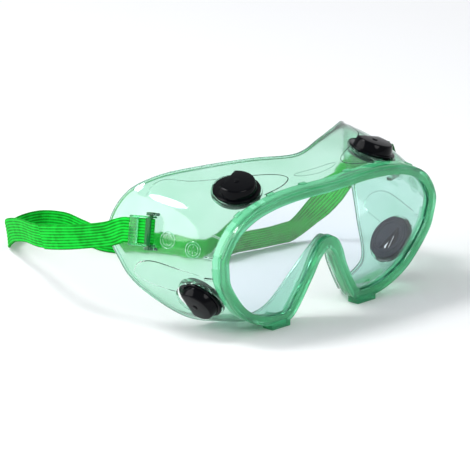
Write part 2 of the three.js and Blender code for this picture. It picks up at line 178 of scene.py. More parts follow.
# From the top centre round the wearer's left to the nose: x and height of the rim in the lens
# plane, x, y, z of the lip, how far the skirt bows out, and the width of the rim's front face.
STATIONS = [
    ((0, 30.7), (0, 25.7, 40), 1.2, 5.3),
    ((25.8, 31.3), (26, 33.4, 41.4), 1.4, 5.3),
    ((45, 30), (50.5, 46, 40), 1.2, 5.3),
    ((61, 26.3), (71, 59.6, 36), 2.0, 5.3),
    ((74, 18.8), (85, 69.8, 27), 3.4, 5.3),
    ((82.2, 6.2), (92.3, 75, 9), 3.6, 5.3),
    ((82, -5), (90, 68.2, -9), 2.8, 5.3),
    ((78.3, -16), (84.2, 59.6, -22.4), 1.8, 5.3),
    ((64.7, -32.2), (70, 43, -37.2), 1.4, 5.3),
    ((48.6, -40.9), (51.5, 37.5, -43.8), 1.0, 5.3),
    ((33.3, -43.4), (38, 29, -43.9), 0.3, 5.3),
    ((22.7, -40.6), (27, 21.5, -36.8), 0.3, 5.3),
    ((11, -22.8), (14, 16, -20), 0.5, 5.3),
    ((5.4, -12.6), (6.8, 11.4, -7.8), 0.5, 6.3),
    ((0, -8), (0, 9.8, -1.5), 0.5, 7.5),
]
COLUMNS_PER_STATION = 10

around = STATIONS + [
    ((-rim[0], rim[1]), (-edge[0], edge[1], edge[2]), bow, face)
    for rim, edge, bow, face in reversed(STATIONS[1:-1])
]
rim_points = np.array([[rim[0], 0, rim[1]] for rim, _, _, _ in around], float)
lip_points = np.array([edge for _, edge, _, _ in around], float)
widths = np.array([[bow, face, 0] for _, _, bow, face in around], float)
tilt = np.array([
    [1, 0, 0],
    [0, math.cos(LENS_TILT), -math.sin(LENS_TILT)],
    [0, math.sin(LENS_TILT), math.cos(LENS_TILT)],
])


def on_loop(points, station):
    """A point of the smooth closed line through some points."""
    first = math.floor(station)
    t = station - first
    a, b, c, d = (points[(first + k) % len(points)] for k in (-1, 0, 1, 2))
    slope_b = (c - a) / 2
    slope_c = (d - b) / 2
    bend = 2 * (b - c) + slope_b + slope_c
    turn = 3 * (c - b) - 2 * slope_b - slope_c
    return ((bend * t + turn) * t + slope_b) * t + b


def rim_outward(station):
    """The direction in the lens plane that points out of the rim."""
    along = on_loop(rim_points, station + 0.003) - on_loop(rim_points, station - 0.003)
    along /= np.linalg.norm(along)
    return np.array([-along[2], 0, along[0]])


def rim_point(station, outside, behind):
    """A point of the rim's section: how far outside its outline and behind its front face."""
    point = on_loop(rim_points, station) + rim_outward(station) * outside
    point[1] = behind
    return tilt @ point


def skirt_point(station, depth):
    """The skirt's outer face: depth runs from 0 at the rim to 1 at the lip."""
    point = rim_point(station, -RIM["step"], RIM["depth"])
    point = point * (1 - depth) + on_loop(lip_points, station) * depth
    bow = 4 * depth * (1 - depth) * on_loop(widths, station)[0]
    return point + tilt @ rim_outward(station) * bow


def skirt_normal(station, depth):
    """The direction that points out of the skirt."""
    back = min(depth, 0.99)
    along = skirt_point(station + 0.01, depth) - skirt_point(station - 0.01, depth)
    across = skirt_point(station, back + 0.01) - skirt_point(station, back)
    normal = np.cross(along, across)
    return normal / np.linalg.norm(normal)


def frame_section(station):
    """One closed section of the moulding, from the front face round the groove, skirt and lip."""
    face = on_loop(widths, station)[1]
    groove_back = RIM["flange"] + LENS_THICKNESS + 2 * GAP
    ledge_back = groove_back + RIM["ledge"]
    curl = RIM["round"]
    section = [rim_point(station, *at) for at in (
        (-0.05 * curl, 0.6 * curl),
        (-0.3 * curl, 0.3 * curl),
        (-0.65 * curl, 0.07 * curl),
        (-curl, 0),
        (-face / 2, 0),
        (-face + 0.5, 0),
        (-face + 0.12, 0.12),
        (-face, 0.5),
        (-face, RIM["flange"]),
        (-RIM["wall"], RIM["flange"]),
        (-RIM["wall"], groove_back),
        (-face, groove_back),
        (-face, ledge_back - 0.5),
        (-face + 0.15, ledge_back - 0.12),
        (-face + 0.6, ledge_back),
    )]
    rows = 12
    for row in range(rows):
        depth = 0.03 + 0.97 * row / (rows - 1)
        section.append(skirt_point(station, depth) - skirt_normal(station, depth) * SKIRT["wall"])
    lip = skirt_point(station, 1)
    normal = skirt_normal(station, 1)
    back = lip - skirt_point(station, 0.9)
    back /= np.linalg.norm(back)
    radius = SKIRT["wall"] / 2 + SKIRT["lip"]
    for step in range(9):
        angle = math.pi * (step + 0.5) / 9
        outwards = normal * (-math.cos(angle) * radius - SKIRT["wall"] / 2)
        section.append(lip + outwards + back * math.sin(angle) * SKIRT["lip_reach"])
    for row in reversed(range(rows)):
        section.append(skirt_point(station, 0.97 * row / (rows - 1)))
    section += [rim_point(station, *at) for at in (
        (-0.25, RIM["depth"]),
        (0, RIM["depth"] - 0.3),
        (0, 4.2),
        (0, 2.7),
        (-0.45, 2.5),
        (-0.45, 2.1),
        (0, 1.9),
    )]
    return section


def skin(name, columns, rows, place):
    """A grid whose corners are moved to a surface, with its seams closed and faces pointing out."""
    bpy.ops.object.select_all(action="DESELECT")
    bpy.ops.mesh.primitive_grid_add(x_subdivisions=columns, y_subdivisions=rows, size=2, calc_uvs=True)
    piece = bpy.context.object
    piece.name = name
    for corner in piece.data.vertices:
        column = round((corner.co.x + 1) / 2 * columns)
        row = round((corner.co.y + 1) / 2 * rows)
        corner.co = place(column, row)
    tidy(piece)
    return piece


# How near two corners lie to be one, in metres: on a fresh skin, and after cuts and joins.
SKIN_MERGE = 0.00001
CUT_MERGE = 0.000002


def tidy(piece, merge=SKIN_MERGE):
    """Merges doubled corners and turns every face outwards."""
    bpy.ops.object.select_all(action="DESELECT")
    bpy.context.view_layer.objects.active = piece
    piece.select_set(True)
    bpy.ops.object.mode_set(mode="EDIT")
    bpy.ops.mesh.select_all(action="SELECT")
    bpy.ops.mesh.remove_doubles(threshold=merge)
    bpy.ops.mesh.normals_make_consistent(inside=False)
    bpy.ops.object.mode_set(mode="OBJECT")


def apply(piece, kind, **settings):
    """Adds a modifier and applies it."""
    bpy.ops.object.select_all(action="DESELECT")
    bpy.context.view_layer.objects.active = piece
    piece.select_set(True)
    modifier = piece.modifiers.new(kind.lower(), kind)
    for key, value in settings.items():
        setattr(modifier, key, value)
    bpy.ops.object.modifier_apply(modifier=modifier.name)


def smooth(piece, angle=35):
    """Shades the piece smooth, but for edges sharper than an angle in degrees."""
    bpy.ops.object.select_all(action="DESELECT")
    bpy.context.view_layer.objects.active = piece
    piece.select_set(True)
    bpy.ops.object.shade_smooth_by_angle(angle=math.radians(angle))


def combine(piece, tools, operation):
    """Joins tools to a piece or cuts them out of it. The tools don't meet each other."""
    bpy.ops.object.select_all(action="DESELECT")
    for tool in tools:
        tool.select_set(True)
    bpy.context.view_layer.objects.active = tools[0]
    if len(tools) > 1:
        bpy.ops.object.join()
    apply(piece, "BOOLEAN", object=tools[0], operation=operation, solver="EXACT")
    bpy.data.objects.remove(tools[0])


def barrel(radius, bottom, top, place=None, end_radius=None, soften=0.0, vertices=64):
    """A round block between two heights, tapered and with softened rims if asked for."""
    bpy.ops.object.select_all(action="DESELECT")
    bpy.ops.mesh.primitive_cone_add(
        vertices=vertices,
        radius1=radius * MM,
        radius2=(radius if end_radius is None else end_radius) * MM,
        depth=(top - bottom) * MM,
        location=(0, 0, (top + bottom) / 2 * MM),
    )
    return placed(bpy.context.object, place, soften)


def bar(low, high, place=None, soften=0.0):
    """A block between two corners."""
    size = [(end - start) * MM for start, end in zip(low, high)]
    middle = [(end + start) / 2 * MM for start, end in zip(low, high)]
    bpy.ops.object.select_all(action="DESELECT")
    bpy.ops.mesh.primitive_cube_add(size=1, location=middle, scale=size)
    return placed(bpy.context.object, place, soften)


def placed(piece, place, soften):
    """Fixes a new block's place in its mesh, softens its edges and sets it in its own frame."""
    bpy.ops.object.transform_apply(location=True, rotation=True, scale=True)
    if soften:
        apply(
            piece, "BEVEL", width=soften * MM, segments=3, limit_method="ANGLE",
            angle_limit=math.radians(40),
        )
    if place is not None:
        piece.data.transform(place)
    return piece


def set_frame(at, x, y, z):
    """The matrix that puts a local block at a place, in millimetres from the rim's middle."""
    matrix = Matrix.Identity(4)
    for column, axis in enumerate((x, y, z)):
        for row in range(3):
            matrix[row][column] = axis[row]
    for row in range(3):
        matrix[row][3] = at[row] * MM + RIM_MIDDLE[row]
    return matrix


def facing(at, out):
    """A place whose Z axis points out and whose Y axis points as far back as it can."""
    z = Vector(out).normalized()
    y = (Vector((0, 1, 0)) - z * z.y).normalized()
    return set_frame(at, y.cross(z), y, z)


SIDES = (("left", 1), ("right", -1))
# Each vent's place on the wearer's left side, and the direction that it faces.
VENTS = {
    "top": ((51.8, 19.6, 31.9), (0.25, -0.2, 0.95)),
    "lower": ((73.6, 24.7, -23.6), (0.79, -0.06, -0.61)),
}
# One vent is left turned in its hole.
VENT_TURNS = {"top_right": math.radians(14.6)}
vent_places = {
    f"{level}_{side}": facing((sign * at[0], at[1], at[2]), (sign * out[0], out[1], out[2]))
    for side, sign in SIDES
    for level, (at, out) in VENTS.items()
}
for name, turn in VENT_TURNS.items():
    vent_places[name] = vent_places[name] @ Matrix.Rotation(turn, 4, "Z")
BOSS = {"radius": 13.8, "thickness": 2.4, "hole": 8.9}
CAP_FLANGE = 13.0
SEAT_FLANGE = 12.2

# Where the strap hinge stands on the wing, how far it stands off it, and how the buckle hangs.
ANCHOR = {"station": 4.8, "depth": 0.55, "facing": 0.72, "standoff": 3.2, "droop": math.radians(9)}
PIN = {"radius": 1.0, "length": 19.4}
LUG = {"size": 4.2, "thickness": 1.6, "outer": 10.0, "root": 2.2}
FOOT = {"inner": 26, "outer": 40, "front": 4.4, "back": 12, "top": -41.6}


def hinge_place(sign):
    """The strap hinge's frame: X out from the wing, Y back along it, Z along the pin."""
    out = Vector(skirt_normal(ANCHOR["station"], ANCHOR["facing"]))
    at = skirt_point(ANCHOR["station"], ANCHOR["depth"]) + np.array(out) * ANCHOR["standoff"]
    back = Vector((0, math.cos(ANCHOR["droop"]), -math.sin(ANCHOR["droop"])))
    back = (back - out * back.dot(out)).normalized()
    x = Vector((sign * out.x, out.y, out.z))
    y = Vector((sign * back.x, back.y, back.z))
    return set_frame((sign * at[0], at[1], at[2]), x, y, x.cross(y))


hinge_places = {side: hinge_place(sign) for side, sign in SIDES}


def clear_green_pvc(name, pale, deep, clearness):
    """Plasticised PVC, injection moulded and polished: clear, pale green through one thin wall and
    deeper through thick ones, with a slightly wavy gloss from the flow of the melt."""
    material, tree = finish_named(name)
    place = node(tree, "ShaderNodeTexCoord").outputs["Object"]
    # Slow waves some 30 mm long.
    flow = node(tree, "ShaderNodeTexNoise", {"Scale": 35.0, "Detail": 2.0}, {"Vector": place})
    wave = node(
        tree, "ShaderNodeBump", {"Strength": 0.25, "Distance": 0.0012}, {"Height": flow.outputs["Fac"]}
    )
    tint = node(tree, "ShaderNodeValToRGB", links={"Fac": flow.outputs["Fac"]})
    tint.color_ramp.elements[0].position = 0.3
    tint.color_ramp.elements[0].color = linear(deep)
    tint.color_ramp.elements[1].position = 0.7
    tint.color_ramp.elements[1].color = linear(pale)
    surface(
        tree,
        {"Roughness": 0.06, "IOR": 1.45, "Transmission Weight": clearness},
        {"Base Color": tint.outputs["Color"], "Normal": wave.outputs["Normal"]},
    )
    return material


def ring(radius, thickness, place):
    """A thin ring lying in the XY plane of a place."""
    bpy.ops.object.select_all(action="DESELECT")
    bpy.ops.mesh.primitive_torus_add(
        major_radius=radius * MM, minor_radius=thickness * MM, major_segments=48, minor_segments=10
    )
    return placed(bpy.context.object, place, 0)


def on_wing(station, depth):
    """A place on the skirt: Z points out of it, X runs along it towards the rim's next station."""
    normal = Vector(skirt_normal(station, depth))
    along = Vector(skirt_point(station + 0.05, depth) - skirt_point(station - 0.05, depth)).normalized()
    x = (along - normal * along.dot(normal)).normalized()
    return set_frame(skirt_point(station, depth), x, normal.cross(x), normal)


def bead(path, radius):
    """A fine raised line on the skirt, through pairs of station and depth, that stops at the vents."""
    sides = 8
    steps_per_point = 8
    pairs = np.array(path, float)
    steps = (len(path) - 1) * steps_per_point
    spine = []
    for i in range(steps + 1):
        share = i / steps_per_point
        first = min(int(share), len(path) - 2)
        t = share - first
        points = [pairs[min(max(first + k, 0), len(path) - 1)] for k in (-1, 0, 1, 2)]
        slope_b = (points[2] - points[0]) / 2
        slope_c = (points[3] - points[1]) / 2
        bend = 2 * (points[1] - points[2]) + slope_b + slope_c
        turn = 3 * (points[2] - points[1]) - 2 * slope_b - slope_c
        spine.append(((bend * t + turn) * t + slope_b) * t + points[1])
    middles = [skirt_point(*at) for at in spine]
    rings = []
    for i, at in enumerate(spine):
        normal = skirt_normal(*at)
        along = middles[min(i + 1, steps)] - middles[max(i - 1, 0)]
        across = np.cross(normal, along)
        across /= np.linalg.norm(across)
        taper = 0.05 if i in (0, steps) else 1
        rings.append([
            middles[i] + (normal * math.sin(turn) + across * math.cos(turn)) * radius * taper
            for turn in (2 * math.pi * k / sides for k in range(sides))
        ])
    rings = [[middles[0]] * sides] + rings + [[middles[-1]] * sides]
    line = skin(
        "bead",
        sides,
        len(rings) - 1,
        lambda column, row: Vector(rings[row][column % sides]) * MM + RIM_MIDDLE,
    )
    clear = [barrel(CAP_FLANGE + 0.6, -6, 6, place) for place in vent_places.values()]
    combine(line, clear, "DIFFERENCE")
    return line


station_count = len(around)
sections = [
    [Vector(point) * MM + RIM_MIDDLE for point in frame_section(i / COLUMNS_PER_STATION)]
    for i in range(station_count * COLUMNS_PER_STATION)
]
mask = skin(
    "moulded_frame",
    len(sections),
    len(sections[0]),
    lambda column, row: sections[column % len(sections)][row % len(sections[0])],
)
additions = [
    barrel(BOSS["radius"], -BOSS["thickness"], 0, place, soften=0.5) for place in vent_places.values()
]
upright = set_frame((0, 0, 0), (1, 0, 0), (0, 1, 0), (0, 0, 1))
for sign in (1, -1):
    x = sorted((sign * FOOT["inner"], sign * FOOT["outer"]))
    low = (x[0], FOOT["front"], FLOOR)
    additions.append(bar(low, (x[1], FOOT["back"], FOOT["top"]), upright, soften=0.5))
for place in hinge_places.values():
    half = LUG["size"] / 2
    for end in (-1, 1):
        z = sorted((end * LUG["outer"], end * (LUG["outer"] - LUG["thickness"])))
        low = (-ANCHOR["standoff"] - LUG["root"], -half, z[0])
        additions.append(bar(low, (half, half, z[1]), place, soften=0.3))
combine(mask, additions, "UNION")
# Recesses for the cap and the seat of every vent, the hole between them, and the pins' holes.
combine(mask, [barrel(CAP_FLANGE + GAP, 0, 6, place) for place in vent_places.values()], "DIFFERENCE")
combine(mask, [
    barrel(SEAT_FLANGE + GAP, -BOSS["thickness"] - 6, -BOSS["thickness"], place)
    for place in vent_places.values()
], "DIFFERENCE")
combine(mask, [barrel(BOSS["hole"], -9, 1, place) for place in vent_places.values()], "DIFFERENCE")
combine(mask, [
    barrel(PIN["radius"] + 0.1, -PIN["length"], PIN["length"], place, vertices=32)
    for place in hinge_places.values()
], "DIFFERENCE")

# Raised marks of the mould, the same on both wings: the outlines of two pressed panels, two round
# stamps with blank dials, short stiffening ribs behind the rim, and small clips along its top.
UPPER_PANEL = [
    (24.1, 0.81), (24.9, 0.9), (25.3, 0.68), (26.36, 0.53), (27.0, 0.4), (27.2, 0.26), (27.0, 0.14),
    (26.62, 0.08), (26.1, 0.06),
]
LOWER_PANEL = [
    (21.74, 0.14), (22.22, 0.53), (22.12, 0.75), (21.82, 0.86), (21.62, 0.89), (21.34, 0.84),
    (21.0, 0.6), (20.9, 0.46),
]
STAMPS = [(23.06, 0.41), (22.92, 0.18)]
STAMP = {"rings": ((4.4, 0.25), (3.0, 0.2)), "spokes": 6}
WING_RIBS = [(23.57, 0.03), (22.67, 0.03), (21.55, 0.04)]
RIM_CLIPS = [24.66, 26.2, 27.36]
CARTOUCHE = {"depth": 0.29, "half_length": 0.6, "half_height": 0.075, "opening": 0.05, "points": 17}
marks = []
for mirror in (lambda station: station, lambda station: station_count - station):
    for path in (UPPER_PANEL, LOWER_PANEL):
        marks.append(bead([(mirror(station), depth) for station, depth in path], 0.3))
    for station, depth in STAMPS:
        place = on_wing(mirror(station), depth)
        marks += [ring(radius, thickness, place) for radius, thickness in STAMP["rings"]]
        for spoke in range(STAMP["spokes"]):
            turned = place @ Matrix.Rotation(spoke * 2 * math.pi / STAMP["spokes"], 4, "Z")
            marks.append(bar((0.6, -0.18, -0.2), (2.2, 0.18, 0.25), turned))
    for station, depth in WING_RIBS:
        place = on_wing(mirror(station), depth)
        marks.append(bar((-0.6, -4.2, -0.6), (0.6, 3.4, 1.1), place, soften=0.3))
    for station in RIM_CLIPS:
        outward = Vector(tilt @ rim_outward(mirror(station)))
        back = Vector(tilt @ np.array([0, 1, 0]))
        place = set_frame(rim_point(mirror(station), 0, RIM["depth"]), outward.cross(back), outward, back)
        marks.append(bar((-2.4, -1.6, -1.5), (2.4, 0.5, 1.0), place, soften=0.35))
# A blank oval cartouche in the middle of the brow. Its two ends all but meet.
start = CARTOUCHE["opening"]
cartouche = [
    (
        station_count + CARTOUCHE["half_length"] * math.cos(turn),
        CARTOUCHE["depth"] + CARTOUCHE["half_height"] * math.sin(turn),
    )
    for turn in np.linspace(start, 2 * math.pi - start, CARTOUCHE["points"])
]
marks.append(bead(cartouche, 0.15))
combine(mask, marks, "UNION")
tidy(mask, CUT_MERGE)
smooth(mask)
for name, pale, deep, clearness in (
    ("thin wall", "#c6f1de", "#b4e9cf", 0.97),
    ("thick rim", "#7fe3b0", "#58cf93", 0.72),
    ("solid foot", "#43c586", "#2fa971", 0.6),
):
    mask.data.materials.append(clear_green_pvc(f"clear green moulded PVC, {name}", pale, deep, clearness))
# The feet take the solid look, and all that lies close behind the rim's face the thick one.
for face in mask.data.polygons:
    middle = (face.center - RIM_MIDDLE) / MM
    behind_face = middle.y * math.cos(LENS_TILT) + middle.z * math.sin(LENS_TILT)
    if middle.z < -40.5 and behind_face < 16:
        face.material_index = 2
    elif behind_face < RIM["depth"] + 0.3:
        face.material_index = 1
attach(mask, "frame")
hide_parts("mask_frame")

# ---- Lens ----
# A flat sheet of clear polycarbonate, cut to outline and sprung into the groove of the frame. It
# keeps its shape from the frame file and only takes its finish here.


def clear_polycarbonate():
    """Extruded polycarbonate sheet: colourless with a very faint blue, and mirror smooth."""
    material, tree = finish_named("clear polycarbonate sheet")
    place = node(tree, "ShaderNodeTexCoord").outputs["Object"]
    haze = node(tree, "ShaderNodeTexNoise", {"Scale": 20.0, "Detail": 2.0}, {"Vector": place})
    smear = node(
        tree, "ShaderNodeMapRange", {"To Min": 0.0, "To Max": 0.03}, {"Value": haze.outputs["Fac"]}
    )
    surface(
        tree,
        {
            "Base Color": linear("#e9f2fa"),
            "IOR": 1.45,
            "Transmission Weight": 1.0,
            "Specular IOR Level": 0.1,
        },
        {"Roughness": smear.outputs["Result"]},
    )
    return material


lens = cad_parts["lens"]
lens.data.materials.clear()
lens.data.materials.append(clear_polycarbonate())

# ---- Button vents ----
# Each vent is two glossy black ABS mouldings snapped together through the wall: a hooded cap with an
# air slot in its flat side, and a seat inside with a half-moon hole. They turn in the soft frame.

CAP = {"height": 6.9, "flange": 1.9, "base": 11.6, "top": 10.0, "wall": 1.3, "chord": 5.2}
SEAT = {"thickness": 1.5, "barrel": 8.6, "dish": 7.3, "hole": 6.8, "chord": -1.4, "rings": (11.0, 9.2)}


def moulded_abs(name, colour, polish_range):
    """Black ABS straight from the mould, glossy outside and duller on the inner faces. Its base colour
    is given: on the seats a blue-grey that is a painted reflection of a bluish room on the black plastic."""
    material, tree = finish_named(name)
    place = node(tree, "ShaderNodeTexCoord").outputs["Object"]
    grain = node(tree, "ShaderNodeTexNoise", {"Scale": 260.0, "Detail": 3.0}, {"Vector": place})
    polish = node(
        tree,
        "ShaderNodeMapRange",
        {"To Min": polish_range[0], "To Max": polish_range[1]},
        {"Value": grain.outputs["Fac"]},
    )
    ripple = node(
        tree, "ShaderNodeBump", {"Strength": 0.1, "Distance": 0.0002}, {"Height": grain.outputs["Fac"]}
    )
    surface(
        tree,
        {"Base Color": linear(colour), "Specular IOR Level": 0.1},
        {"Roughness": polish.outputs["Result"], "Normal": ripple.outputs["Normal"]},
    )
    return material


abs_black = moulded_abs("glossy black moulded ABS", "#020306", (0.06, 0.12))
# The seats' blue-grey base colour is a painted reflection: their black plastic shows a bluish room in
# shade.
seat_abs_painted_reflection = moulded_abs("satin black moulded ABS, painted blue-grey reflection", "#0d1925", (0.3, 0.42))
# The half-moon hole is turned a little from the flat side of the hood, mirrored on the two wings.
SEAT_TURN = math.radians(26)
for name, place in vent_places.items():
    body = f"vent_{name}"
    cap = barrel(CAP["base"], CAP["flange"] - 0.5, CAP["height"], end_radius=CAP["top"], soften=0.8)
    wide = CAP_FLANGE + 2
    combine(cap, [bar((-wide, CAP["chord"], 0), (wide, wide, 9))], "DIFFERENCE")
    apply(cap, "BEVEL", width=0.5 * MM, segments=3, limit_method="ANGLE", angle_limit=math.radians(50))
    combine(cap, [barrel(CAP_FLANGE, GAP, CAP["flange"], soften=0.45)], "UNION")
    nub = barrel(1.5, CAP["height"] - 1, CAP["height"] + 0.45, soften=0.3)
    combine(cap, [nub], "UNION")
    hollow = barrel(BOSS["hole"], -1, CAP["height"] - CAP["wall"])
    combine(hollow, [bar((-wide, CAP["chord"] - CAP["wall"], 2.5), (wide, wide, 9))], "DIFFERENCE")
    combine(cap, [hollow], "DIFFERENCE")
    air_slot = bar((-4.4, 2.9, 2.9), (4.4, 6.2, 4.5), soften=0.4)
    combine(cap, [air_slot], "DIFFERENCE")
    tidy(cap, CUT_MERGE)
    cap.data.transform(place)
    cap.name = f"vent_cap_{name}_moulding"
    smooth(cap, 30)
    cap.data.materials.append(abs_black)
    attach(cap, body)
    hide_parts(f"vent_cap_{name}")

    top = -BOSS["thickness"] - GAP
    bottom = top - SEAT["thickness"]
    seat = barrel(SEAT_FLANGE, bottom, top, soften=0.4)
    combine(seat, [barrel(SEAT["barrel"], bottom + 0.6, 2.1, soften=0.2)], "UNION")
    combine(seat, [barrel(SEAT["dish"], bottom + 1.1, 3)], "DIFFERENCE")
    moon = barrel(SEAT["hole"], bottom - 2, bottom + 2.2)
    combine(moon, [bar((-9, SEAT["chord"], bottom - 3), (9, 9, bottom + 3))], "DIFFERENCE")
    combine(seat, [moon], "DIFFERENCE")
    low = (-SEAT["dish"], SEAT["chord"], bottom - 1.1)
    ridge = bar(low, (SEAT["dish"], -0.5, bottom + 0.5), soften=0.2)
    combine(seat, [ridge], "UNION")
    for radius in SEAT["rings"]:
        raised = barrel(radius, bottom - 0.35, bottom + 0.3, soften=0.12)
        combine(raised, [barrel(radius - 0.7, bottom - 2, bottom + 2)], "DIFFERENCE")
        combine(seat, [raised], "UNION")
    tidy(seat, CUT_MERGE)
    turn = SEAT_TURN if name.endswith("left") else -SEAT_TURN
    seat.data.transform(place @ Matrix.Rotation(turn, 4, "Z"))
    seat.name = f"vent_seat_{name}_moulding"
    smooth(seat, 30)
    seat.data.materials.append(seat_abs_painted_reflection)
    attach(seat, body)
    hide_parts(f"vent_seat_{name}")

# ---- Strap hinge ----
# A short pin, its square heads set in two lugs, stands on each wing. The slide buckle turns on it: a
# clear moulded frame with a wide keeper bar and a narrow guard bar, that grips the strap's layers.

RAIL = {"inner": 7.1, "thickness": 1.0, "front": -2.4, "back": 12.1, "under": -2.3, "over": 3.5}
KEEPER = {"front": 6.9, "bottom": 1.9}
GUARD = {"back": 0.9, "bottom": 2.65}
PIN_HEAD = {"half": 1.4, "out": 2.3, "inner": 8.5, "outer": 10.2}


def clear_buckle_plastic(name, tint, clearness):
    """Polycarbonate with a green tint, injection moulded and polished: nearly clear in the frame
    and the keeper bar. The narrow guard bar takes a deeper, less clear copy of it, a painted shade."""
    material, tree = finish_named(name)
    place = node(tree, "ShaderNodeTexCoord").outputs["Object"]
    flow = node(tree, "ShaderNodeTexNoise", {"Scale": 120.0, "Detail": 2.0}, {"Vector": place})
    wave = node(
        tree, "ShaderNodeBump", {"Strength": 0.15, "Distance": 0.0004}, {"Height": flow.outputs["Fac"]}
    )
    surface(
        tree,
        {
            "Base Color": linear(tint),
            "Roughness": 0.06,
            "IOR": 1.3,
            "Transmission Weight": clearness,
            "Specular IOR Level": 0.25,
        },
        {"Normal": wave.outputs["Normal"]},
    )
    return material


def dark_nylon():
    """Dark green nylon rod, drawn smooth, with a satin sheen."""
    material, tree = finish_named("dark green drawn nylon")
    place = node(tree, "ShaderNodeTexCoord").outputs["Object"]
    grain = node(tree, "ShaderNodeTexNoise", {"Scale": 900.0, "Detail": 2.0}, {"Vector": place})
    sheen = node(
        tree, "ShaderNodeMapRange", {"To Min": 0.3, "To Max": 0.45}, {"Value": grain.outputs["Fac"]}
    )
    surface(tree, {"Base Color": linear("#075a30")}, {"Roughness": sheen.outputs["Result"]})
    return material


buckle_plastic = clear_buckle_plastic("clear green moulded polycarbonate", "#7be8a6", 0.92)
# A darker, less clear copy of the same plastic: painted shade for the guard bar.
guard_painted_shade_plastic = clear_buckle_plastic("clear green moulded polycarbonate, painted deep shade", "#12813c", 0.55)
nylon = dark_nylon()
for side, _ in SIDES:
    place = hinge_places[side]
    pin = barrel(
        PIN["radius"], -PIN["length"] / 2, PIN["length"] / 2, place, soften=0.25, vertices=32
    )
    half = PIN_HEAD["half"]
    for end in (-1, 1):
        z = sorted((end * PIN_HEAD["inner"], end * PIN_HEAD["outer"]))
        head = bar((-half, -half, z[0]), (PIN_HEAD["out"], half, z[1]), place, soften=0.2)
        combine(pin, [head], "UNION")
    pin.name = f"hinge_pin_{side}"
    smooth(pin)
    pin.data.materials.append(nylon)
    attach(pin, "frame")
    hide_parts(f"buckle_pin_{side}")

    outer = RAIL["inner"] + RAIL["thickness"]
    low = (RAIL["under"], RAIL["front"], -outer)
    buckle = bar(low, (RAIL["over"], RAIL["back"], outer), soften=0.45)
    opening = bar((-6, GUARD["back"], -RAIL["inner"]), (6, KEEPER["front"], RAIL["inner"]), soften=0.3)
    combine(buckle, [opening], "DIFFERENCE")
    loop_room = bar((-6, -5, -RAIL["inner"]), (GUARD["bottom"], GUARD["back"] + 1, RAIL["inner"]))
    combine(buckle, [loop_room], "DIFFERENCE")
    heel = bar((-6, 5, -outer - 1), (-1.4, 14, outer + 1))
    combine(buckle, [heel], "DIFFERENCE")
    under = bar((-6, KEEPER["front"] - 1, -RAIL["inner"]), (KEEPER["bottom"], 20, RAIL["inner"]))
    combine(buckle, [under], "DIFFERENCE")
    bore = barrel(PIN["radius"] + GAP, -outer - 1, outer + 1, vertices=32)
    combine(buckle, [bore], "DIFFERENCE")
    tidy(buckle, CUT_MERGE)
    buckle.data.transform(place)
    buckle.name = f"slide_buckle_moulding_{side}"
    smooth(buckle)
    buckle.data.materials.append(buckle_plastic)
    buckle.data.materials.append(guard_painted_shade_plastic)
    # The guard bar and the front ends of the rails take the deep green copy: a painted shade.
    into_place = place.inverted()
    for face in buckle.data.polygons:
        if (into_place @ face.center).y < (GUARD["back"] + 0.2) * MM:
            face.material_index = 1
    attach(buckle, f"slide_buckle_{side}")
    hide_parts(f"buckle_{side}")

# ---- Strap ----
# One length of woven elastic, nearly 14 mm wide, with rubber cords that raise eight ribs along it.
# Each end goes round a hinge pin and lies back on the band under the keeper bar. It is cut at the
# middle of the free band into two pieces.

STRAP = {"width": 13.6, "thickness": 1.1, "pitch": 1.4, "ribs": 8, "tail_start": 5}
TAILS = {"right": 76, "left": 34}
FLAT = FLOOR + STRAP["width"] / 2 + 0.2
# The middle of the band from the right buckle to the left one: x, y, z, and the lean of the band's
# upper edge in degrees.
ROUTE = [
    (-95.2, 72, 7, -8),
    (-95.8, 86, 3, -10),
    (-95.4, 107, -2.4, -4),
    (-86, 134, -9.5, -12),
    (-63, 170, -19, -14),
    (-45, 197, -29, -14),
    (-30, 212.5, FLAT, -4),
    (-14, 219, FLAT, 0),
    (0, 217, FLAT, 0),
    (6, 206, FLAT, 0),
    (3, 189, FLAT, 0),
    (0, 170, FLAT, 0),
    (8, 153, FLAT, 0),
    (17, 136, FLAT, 0),
    (20, 119, FLAT, 8),
    (31, 113, FLAT, 18),
    (47, 114.5, FLAT, 20),
    (64, 111, FLAT, 20),
    (81, 109, FLAT, 14),
    (94, 103, -28, 8),
    (97.8, 92.5, -16, 6),
    (97.6, 82.5, -4.5, 4),
    (96.4, 73.5, 4, 2),
]
OUTER_LAYER = [(1.6, 3.2), (1.15, 6), (1.05, 9), (1.05, 13), (1.05, 17)]
INNER_LAYER = [(out - STRAP["pitch"], back) for out, back in OUTER_LAYER[1:]]


def on_line(points, share):
    """A point of the smooth open line through some points, with no overshoot at short steps."""
    last = len(points) - 1
    first = min(int(share * last), last - 1)
    t = share * last - first
    b, c = points[first], points[first + 1]
    a = points[first - 1] if first > 0 else 2 * b - c
    d = points[first + 2] if first + 2 <= last else 2 * c - b
    ab, bc, cd = (max(np.linalg.norm(q - p), 1e-6) ** 0.5 for p, q in ((a, b), (b, c), (c, d)))
    slope_b = ((b - a) / ab - (c - a) / (ab + bc) + (c - b) / bc) * bc
    slope_c = ((c - b) / bc - (d - b) / (bc + cd) + (d - c) / cd) * bc
    bend = 2 * (b - c) + slope_b + slope_c
    turn = 3 * (c - b) - 2 * slope_b - slope_c
    return ((bend * t + turn) * t + slope_b) * t + b


def steps_at_hinge(side, pairs):
    """Points out from a hinge pin and back from it, each with the direction of the band's edge."""
    place = hinge_places[side]
    up = Vector(place.col[2][:3])
    up = np.array(up if up.z > 0 else -up)
    middle = np.array(RIM_MIDDLE)
    return [
        ((np.array((place @ Vector((out * MM, back * MM, 0)))) - middle) / MM, up) for out, back in pairs
    ]


